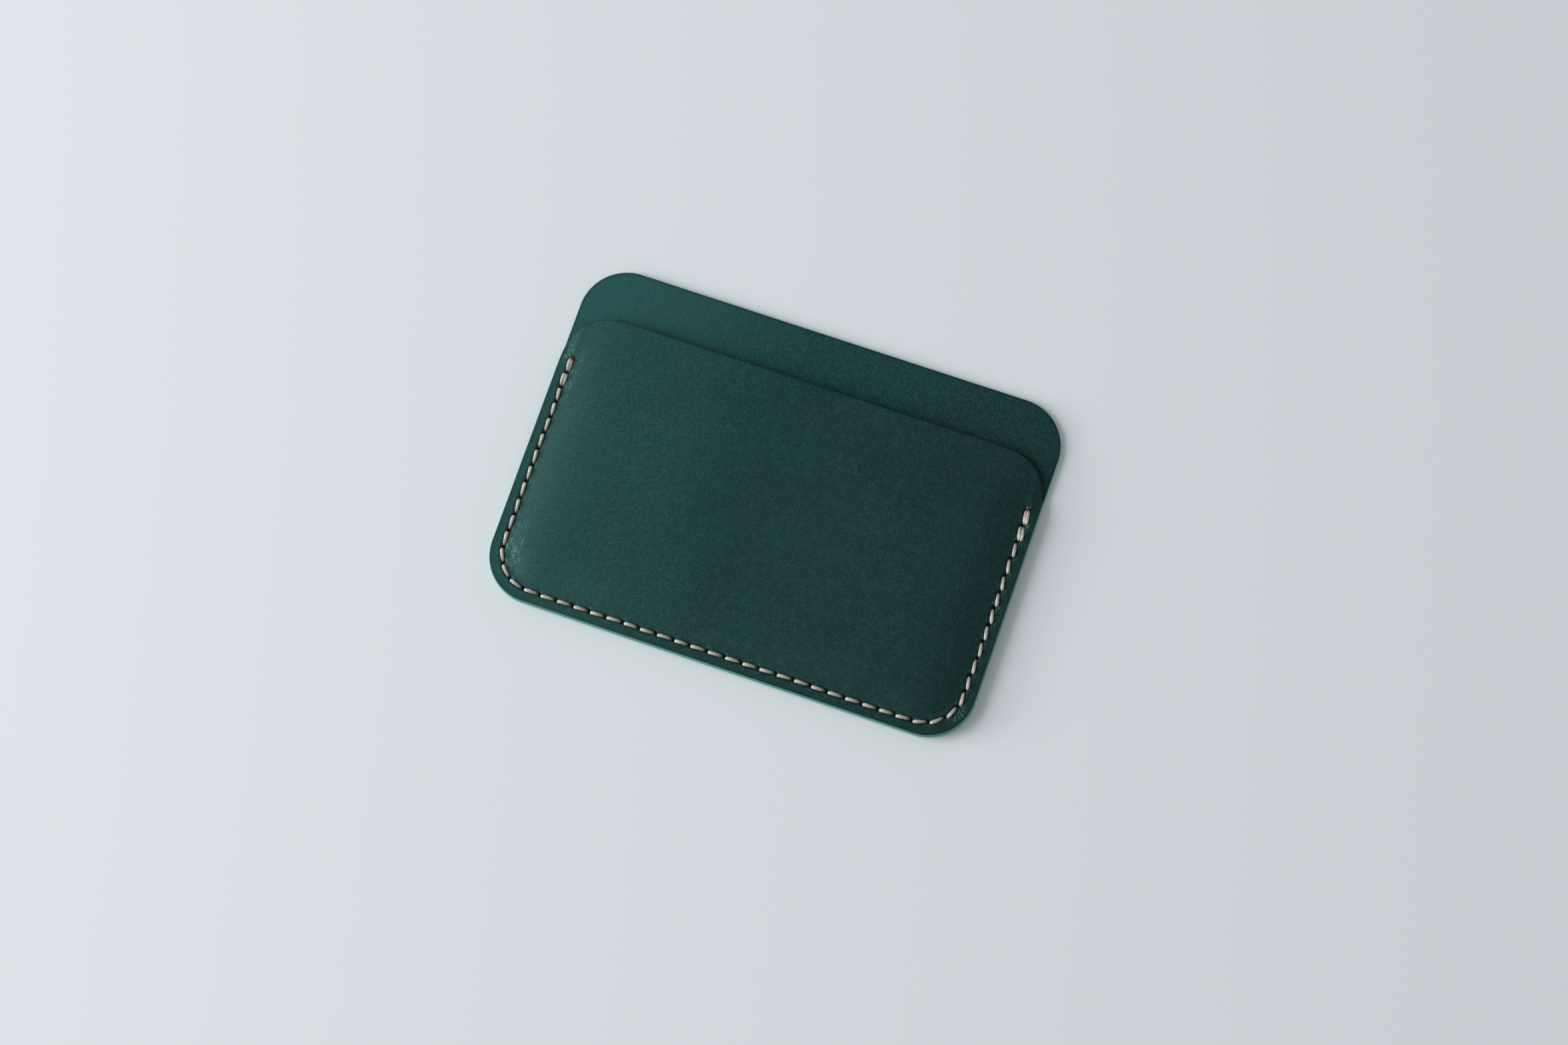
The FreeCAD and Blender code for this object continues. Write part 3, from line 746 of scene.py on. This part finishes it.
def make_threads():
    """The two threads change faces at every slit, so each shows every second front stitch."""
    pieces = []
    for name, first, node in (("lead_stitches", 0, "lead_thread"),
                              ("following_stitches", 1, "following_thread")):
        points = front_run(first, 1)[::-1]
        points += rear_run(rear_place(first, 1), rear_place(first, -1))
        for number in range(first, STITCHES, 2):
            points += front_run(number, -1 if number in DOUBLED else 0)
            if number + 2 < STITCHES:
                points += rear_run(rear_place(number + 1, -1), rear_place(number + 2, 1))
        last = STITCHES - 1 - first
        points += rear_run(rear_place(last + 1, -1), rear_place(last + 1, 1))
        points += front_run(last, 1)[::-1]
        piece = thread_mesh(name, [bspline(np.array(points), ALONG_THREAD)])
        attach(piece, "root")
        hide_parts(node)
        pieces.append(piece)
    return pieces


BEAD_SIZE = (0.58, 0.56, 0.34)


def make_beads():
    """The thread ends, melted into small dark beads in the last slit at each end."""
    pieces = []
    ends = (("left_bead", 0.34, -0.2, 5), ("right_bead", SEAM_LENGTH, 0.03, 9))
    for name, along, out, seed in ends:
        bpy.ops.mesh.primitive_ico_sphere_add(subdivisions=5, radius=1.0)
        piece = bpy.context.object
        piece.name = name
        piece.data.name = name
        centre = place_at(along, out, FRONT_FACE + 0.02)[:3]
        points = np.empty(len(piece.data.vertices) * 3)
        piece.data.vertices.foreach_get("co", points)
        points = points.reshape(-1, 3)
        lump = 1 + 0.10 * value_noise(points[:, 0] + points[:, 2], points[:, 1] - points[:, 2],
                                      0.55, seed, 3)
        points = points * lump[:, None] * BEAD_SIZE + centre
        piece.data.vertices.foreach_set("co", (points * MM).ravel())
        piece.data.polygons.foreach_set("use_smooth", [True] * len(piece.data.polygons))
        piece.data.update()
        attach(piece, "root")
        pieces.append(piece)
    return pieces


# ---------------------------------------------------------------- cement


def make_cement():
    """The thin film between the layers, a hair back from the dressed edge."""
    back, wide, overrun, samples = 0.1, 3.4, 1.4, 760
    distances = np.linspace(-overrun, SEAM_LENGTH + overrun, samples)
    rings = []
    for out, level in ((STITCH_INSET - back, BACK_FACE), (STITCH_INSET - back, SEAM_LEVEL),
                       (STITCH_INSET - wide, SEAM_LEVEL), (STITCH_INSET - wide, BACK_FACE)):
        x, y = seam_point(distances, out)
        rings.append(np.stack([x, y, np.full(len(x), level)], 1))
    count = len(distances)
    points = np.stack(rings, 1).reshape(-1, 3)
    index = np.arange(count * 4).reshape(count, 4)
    following = np.roll(index, -1, axis=1)
    quads = np.stack([index[:-1], index[1:], following[1:], following[:-1]], 2).reshape(-1, 4)
    faces = quads.tolist() + [index[0].tolist(), index[-1][::-1].tolist()]
    piece = add_piece("seam_glue", points, faces, rounded=False)
    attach(piece, "root")
    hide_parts("seam_cement")
    return piece


# ---------------------------------------------------------------- materials


class Nodes:
    """Short calls for building a node tree."""

    def __init__(self, name):
        self.material = bpy.data.materials.new(name)
        self.material.use_nodes = True
        self.tree = self.material.node_tree
        self.shader = self.tree.nodes["Principled BSDF"]

    def add(self, kind, **settings):
        node = self.tree.nodes.new(kind)
        for key, value in settings.items():
            setattr(node, key, value)
        return node

    def link(self, source, target):
        self.tree.links.new(source, target)

    def put(self, socket, value):
        if isinstance(value, bpy.types.NodeSocket):
            self.link(value, socket)
        else:
            socket.default_value = value

    def place(self):
        return self.add("ShaderNodeTexCoord").outputs["Object"]

    def attribute(self, name, output="Fac"):
        return self.add("ShaderNodeAttribute", attribute_name=name).outputs[output]

    def noise(self, place, feature, detail=3.0, rough=0.5):
        """Noise whose features are about so many millimetres wide."""
        node = self.add("ShaderNodeTexNoise")
        self.link(place, node.inputs["Vector"])
        node.inputs["Scale"].default_value = 1 / (feature * MM)
        node.inputs["Detail"].default_value = detail
        node.inputs["Roughness"].default_value = rough
        return node.outputs["Fac"]

    def vector_noise(self, vector, stretch, scale, detail):
        """Noise over a vector attribute, stretched by a factor along each axis."""
        mapping = self.add("ShaderNodeMapping")
        mapping.inputs["Scale"].default_value = stretch
        self.link(vector, mapping.inputs["Vector"])
        node = self.add("ShaderNodeTexNoise")
        self.link(mapping.outputs["Vector"], node.inputs["Vector"])
        node.inputs["Scale"].default_value = scale
        node.inputs["Detail"].default_value = detail
        return node.outputs["Fac"]

    def cells(self, place, feature):
        """Distance to the nearest of seeded points, about so many millimetres apart."""
        node = self.add("ShaderNodeTexVoronoi")
        self.link(place, node.inputs["Vector"])
        node.inputs["Scale"].default_value = 1 / (feature * MM)
        return node.outputs["Distance"]

    def math(self, operation, a, b=0.0, clamp=False):
        node = self.add("ShaderNodeMath", operation=operation, use_clamp=clamp)
        self.put(node.inputs[0], a)
        self.put(node.inputs[1], b)
        return node.outputs[0]

    def ramp(self, value, low, high, to_low=0.0, to_high=1.0):
        node = self.add("ShaderNodeMapRange", interpolation_type="SMOOTHSTEP")
        self.put(node.inputs["Value"], value)
        for key, number in (("From Min", low), ("From Max", high), ("To Min", to_low),
                            ("To Max", to_high)):
            node.inputs[key].default_value = number
        return node.outputs["Result"]

    def mix(self, factor, a, b):
        node = self.add("ShaderNodeMix", data_type="RGBA")
        self.put(node.inputs[0], factor)
        self.put(node.inputs[6], a)
        self.put(node.inputs[7], b)
        return node.outputs[2]

    def bump(self, height, distance, strength=1.0, normal=None):
        node = self.add("ShaderNodeBump")
        self.put(node.inputs["Height"], height)
        node.inputs["Distance"].default_value = distance * MM
        node.inputs["Strength"].default_value = strength
        if normal is not None:
            self.link(normal, node.inputs["Normal"])
        return node.outputs["Normal"]


def colour(r, g, b):
    """A colour from its 0-255 screen values."""
    def linear(value):
        value /= 255
        return value / 12.92 if value <= 0.04045 else ((value + 0.055) / 1.055) ** 2.4
    return (linear(r), linear(g), linear(b), 1.0)


DEEP = colour(13, 49, 46)
TEAL = colour(20, 61, 58)
PALE = colour(42, 92, 88)
NEAR_BLACK = colour(6, 15, 14)
PORE = colour(14, 20, 20)
FLECK = colour(58, 112, 106)
CREASE_SCUFF_AND_HIGHLIGHT = colour(116, 168, 162)
FRONT_EDGE = colour(40, 112, 99)
BACK_EDGE = colour(92, 162, 146)
EDGE_LINE = colour(124, 190, 174)
NAP_DARK = colour(15, 52, 49)
NAP_PALE = colour(31, 79, 75)
HOLE_SHADE = colour(20, 31, 29)
THREAD_DULL = colour(190, 177, 165)
THREAD_CLEAN = colour(228, 221, 211)
THREAD_SOIL = colour(176, 158, 148)
PLY_SHADOW = colour(92, 76, 66)
THREAD_SHADE = colour(52, 43, 39)
BEAD_DARK = colour(30, 20, 19)
BEAD_BROWN = colour(80, 54, 48)
BEAD_GLINT = colour(168, 156, 148)
CEMENT_DARK = colour(10, 20, 18)
CEMENT_PALE = colour(28, 34, 30)
FLOOR = colour(228, 230, 231)


def leather_material(name):
    n = Nodes(name)
    place = n.place()
    flesh = n.attribute("flesh")
    edge = n.attribute("edge")
    rim_shade = n.attribute("rim_shade")
    hole_shade = n.attribute("hole_shade")
    scuff_and_highlight = n.attribute("scuff_and_highlight")
    shade = n.attribute("shade")

    clouds = n.noise(place, 11.0, 3.0, 0.5)
    patches = n.noise(place, 1.3, 2.0, 0.5)
    mottle = n.noise(place, 0.31, 2.0, 0.55)
    grain = n.noise(place, 0.17, 1.0, 0.5)
    pores = n.cells(place, 0.75)
    dots = n.cells(place, 0.33)
    flecks = n.noise(place, 0.24, 1.0, 0.5)

    base = n.mix(n.ramp(clouds, 0.3, 0.7, 0.25, 0.75), DEEP, TEAL)
    base = n.mix(n.ramp(patches, 0.45, 0.7, 0.0, 0.16), base, PALE)
    across = n.add("ShaderNodeSeparateXYZ")
    n.link(place, across.inputs[0])
    open_grain = n.ramp(across.outputs["X"], 0.01, -SIDE * MM, 0.28, 0.62)
    light_spots = n.math("MULTIPLY", n.ramp(mottle, 0.48, 0.68), open_grain)
    dark_spots = n.math("MULTIPLY", n.ramp(mottle, 0.50, 0.30), open_grain)
    base = n.mix(light_spots, base, PALE)
    base = n.mix(dark_spots, base, NEAR_BLACK)
    base = n.mix(n.ramp(grain, 0.48, 0.3, 0.0, 0.38), base, NEAR_BLACK)
    base = n.mix(n.math("MULTIPLY", n.ramp(dots, 0.22, 0.09), open_grain), base, PORE)
    base = n.mix(n.ramp(pores, 0.12, 0.05, 0.0, 0.85), base, PORE)
    base = n.mix(n.math("MULTIPLY", n.ramp(flecks, 0.58, 0.74), open_grain), base, FLECK)

    nap = n.noise(place, 0.5, 4.0, 0.65)
    fuzz = n.mix(n.ramp(nap, 0.3, 0.7), NAP_DARK, NAP_PALE)
    fuzz = n.mix(n.ramp(mottle, 0.50, 0.70, 0.0, 0.5), fuzz, PALE)
    fuzz = n.mix(n.ramp(grain, 0.48, 0.30, 0.0, 0.7), fuzz, NEAR_BLACK)
    coarse = n.ramp(across.outputs["X"], -0.01, 0.03, 0.15, 0.95)
    pebbles = n.vector_noise(n.attribute("seam", "Vector"), (1.9, 4.6, 1), 1.0, 2.0)
    pebbles = n.ramp(pebbles, 0.42, 0.31)
    fuzz = n.mix(n.ramp(dots, 0.24, 0.08, 0.0, 0.6), fuzz, NEAR_BLACK)
    fuzz = n.mix(n.math("MULTIPLY", pebbles, coarse), fuzz, NEAR_BLACK)
    # Painted light: the flesh side is painted paler towards the lit left side.
    fuzz = n.mix(n.ramp(across.outputs["X"], 0.0, -SIDE * MM, 0.0, 0.3), fuzz, FLECK)
    base = n.mix(n.math("MULTIPLY", flesh, 0.85), base, fuzz)

    # Painted light: the leather is painted paler towards the lit left side and darker towards
    # the shaded right.
    base = n.mix(n.ramp(across.outputs["X"], 0.005, -SIDE * MM, 0.0, 0.4), base, PALE)
    base = n.mix(n.ramp(across.outputs["X"], 0.0, SIDE * MM, 0.0, 0.2), base, NEAR_BLACK)

    fibres = n.noise(place, 0.3, 4.0, 0.65)
    side = n.mix(shade, BACK_EDGE, FRONT_EDGE)
    side = n.mix(n.ramp(fibres, 0.5, 0.68, 0.0, 0.6), side, EDGE_LINE)
    base = n.mix(edge, base, side)
    # Painted shade along the edges and the mouth.
    base = n.mix(n.math("MULTIPLY", rim_shade, 0.8), base, NEAR_BLACK)
    # Painted shade in the slits and the stitch beds.
    base = n.mix(n.math("MULTIPLY", hole_shade, 0.9), base, HOLE_SHADE)

    # Painted highlights on the puckers round each slit.
    slit_highlights = n.vector_noise(n.attribute("ray", "Vector"), (1, 1, 1), 4.5, 1.0)
    slit_highlights = n.math("MULTIPLY", n.ramp(slit_highlights, 0.54, 0.68), n.ramp(n.noise(place, 0.7), 0.45, 0.6))
    slit_highlights = n.math("MULTIPLY", slit_highlights, n.attribute("pucker_highlight"))
    # Pale streaks at the corners and the seam ends, partly scuffed leather and partly painted
    # highlight.
    lines = n.vector_noise(n.attribute("seam", "Vector"), (0.34, 2.1, 1), 1.0, 3.0)
    lines = n.math("ABSOLUTE", n.math("SUBTRACT", lines, 0.5))
    lines = n.ramp(lines, 0.045, 0.010)
    lines = n.math("MULTIPLY", lines, n.ramp(n.noise(place, 2.0), 0.30, 0.52))
    lines = n.math("MULTIPLY", lines, n.attribute("corner"))
    # All these pale marks: painted highlights on the puckers, and creases that are partly
    # scuffed and partly painted highlight.
    crease_scuffs_and_highlights = n.math("ADD", n.math("ADD", slit_highlights, lines), n.math("MULTIPLY", scuff_and_highlight, 0.16))
    base = n.mix(n.math("MULTIPLY", crease_scuffs_and_highlights, 0.62, True), base, CREASE_SCUFF_AND_HIGHLIGHT)
    n.link(base, n.shader.inputs["Base Color"])

    rough = n.ramp(grain, 0.3, 0.7, 0.42, 0.58)
    mix = n.add("ShaderNodeMix", data_type="FLOAT")
    n.put(mix.inputs[0], flesh)
    n.put(mix.inputs[2], rough)
    mix.inputs[3].default_value = 0.78
    n.link(mix.outputs[0], n.shader.inputs["Roughness"])
    n.shader.inputs["Specular IOR Level"].default_value = 0.16

    fine = n.bump(mottle, 0.03, 0.7)
    pits = n.bump(n.ramp(dots, 0.0, 0.25), 0.02, 0.5, fine)
    raised = n.bump(crease_scuffs_and_highlights, 0.05, 0.8, pits)
    nap_bump = n.bump(n.math("MULTIPLY", nap, flesh), 0.10, 0.8, raised)
    n.link(nap_bump, n.shader.inputs["Normal"])
    return n.material


def thread_material(name):
    n = Nodes(name)
    ply = n.attribute("ply")
    strands = n.vector_noise(n.attribute("fibre", "Vector"), (1, 1, 1), 4.2, 4.0)
    soil = n.noise(n.place(), 4.0, 3.0)
    base = n.mix(n.ramp(strands, 0.35, 0.65), THREAD_DULL, THREAD_CLEAN)
    base = n.mix(n.ramp(soil, 0.35, 0.7, 0.0, 0.35), base, THREAD_SOIL)
    # Painted shade: darker in the grooves between the plies, and where the thread dives into a
    # slit.
    base = n.mix(n.ramp(ply, 0.50, 0.0, 0.0, 0.6), base, PLY_SHADOW)
    base = n.mix(n.math("MULTIPLY", n.attribute("thread_shade"), 0.85), base, THREAD_SHADE)
    n.link(base, n.shader.inputs["Base Color"])
    n.shader.inputs["Roughness"].default_value = 0.5
    n.shader.inputs["Sheen Weight"].default_value = 0.2
    n.link(n.bump(strands, 0.03, 0.8), n.shader.inputs["Normal"])
    return n.material


def bead_material(name):
    n = Nodes(name)
    lumps = n.noise(n.place(), 0.25, 4.0, 0.6)
    base = n.mix(n.ramp(lumps, 0.4, 0.62), BEAD_DARK, BEAD_BROWN)
    base = n.mix(n.ramp(lumps, 0.66, 0.72), base, BEAD_GLINT)
    n.link(base, n.shader.inputs["Base Color"])
    n.shader.inputs["Roughness"].default_value = 0.32
    n.link(n.bump(lumps, 0.08, 0.8), n.shader.inputs["Normal"])
    return n.material


def cement_material(name):
    n = Nodes(name)
    base = n.mix(n.noise(n.place(), 0.6), CEMENT_DARK, CEMENT_PALE)
    n.link(base, n.shader.inputs["Base Color"])
    n.shader.inputs["Roughness"].default_value = 0.6
    return n.material


# ---------------------------------------------------------------- the object

leather = leather_material("teal_leather")
front_leather = make_front_leather()
back_leather = make_back_leather()
for piece, node, slot in ((front_leather, "front_panel", "front_leather"),
                          (back_leather, "back_panel", "back_leather")):
    piece.data.materials.append(leather)
    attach(piece, "root")
    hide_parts(node)

thread = thread_material("waxed_thread")
for piece in make_threads():
    piece.data.materials.append(thread)
melted = bead_material("melted_thread")
for piece in make_beads():
    piece.data.materials.append(melted)
make_cement().data.materials.append(cement_material("dry_cement"))

# ---------------------------------------------------------------- floor, light and camera


FLOOR_REACH = 3000.0
DAYLIGHT = (0.96, 0.98, 1.0)


def make_floor():
    """A plain floor in the plane that the part rests on."""
    corners = np.array([(-1, -1, 0), (1, -1, 0), (1, 1, 0), (-1, 1, 0)])
    piece = add_piece("floor", corners * FLOOR_REACH, [(0, 1, 2, 3)], rounded=False)
    n = Nodes("pale_floor")
    n.shader.inputs["Base Color"].default_value = FLOOR
    n.shader.inputs["Roughness"].default_value = 0.9
    n.shader.inputs["Specular IOR Level"].default_value = 0.15
    piece.data.materials.append(n.material)


def make_light(name, place, width, height, power, tint):
    """A rectangular lamp that faces the middle of the part."""
    data = bpy.data.lights.new(name, "AREA")
    data.shape = "RECTANGLE"
    data.size, data.size_y = width, height
    data.energy = power
    data.color = tint
    lamp = bpy.data.objects.new(name, data)
    lamp.location = place
    lamp.rotation_mode = "QUATERNION"
    lamp.rotation_quaternion = (-lamp.location).to_track_quat("-Z", "Y")
    bpy.context.scene.collection.objects.link(lamp)


def make_world():
    world = bpy.data.worlds.new("studio")
    world.use_nodes = True
    background = world.node_tree.nodes["Background"]
    background.inputs["Color"].default_value = (0.88, 0.94, 1.0, 1)
    background.inputs["Strength"].default_value = 0.42
    bpy.context.scene.world = world


def make_camera():
    """The photo's view: angles, roll and distance from a point near the middle of the part."""
    azimuth, elevation, roll = math.radians(34.33), math.radians(77.97), math.radians(15.35)
    distance = 0.72699
    target = Vector((0.00296, -0.00328, 0))
    away = Vector((math.sin(azimuth) * math.cos(elevation),
                   -math.cos(azimuth) * math.cos(elevation), math.sin(elevation)))
    right = Vector((0, 0, 1)).cross(away).normalized()
    up = away.cross(right)
    turned_up = up * math.cos(roll) + right * math.sin(roll)
    turned_right = turned_up.cross(away)
    data = bpy.data.cameras.new("camera")
    data.lens = 85
    data.sensor_width = 36
    data.clip_start = 0.01
    camera = bpy.data.objects.new("camera", data)
    bpy.context.scene.collection.objects.link(camera)
    camera.matrix_world = Matrix.Translation(target + away * distance) @ Matrix(
        (turned_right, turned_up, away)).transposed().to_4x4()
    bpy.context.scene.camera = camera


make_floor()
make_world()
make_light("window", (-1.20, -0.31, 0.92), 1.1, 0.95, 17.0, DAYLIGHT)
make_light("low_window", (-1.45, -0.49, 0.33), 0.7, 0.30, 12.0, DAYLIGHT)
make_camera()
bpy.context.scene.view_settings.view_transform = "Standard"
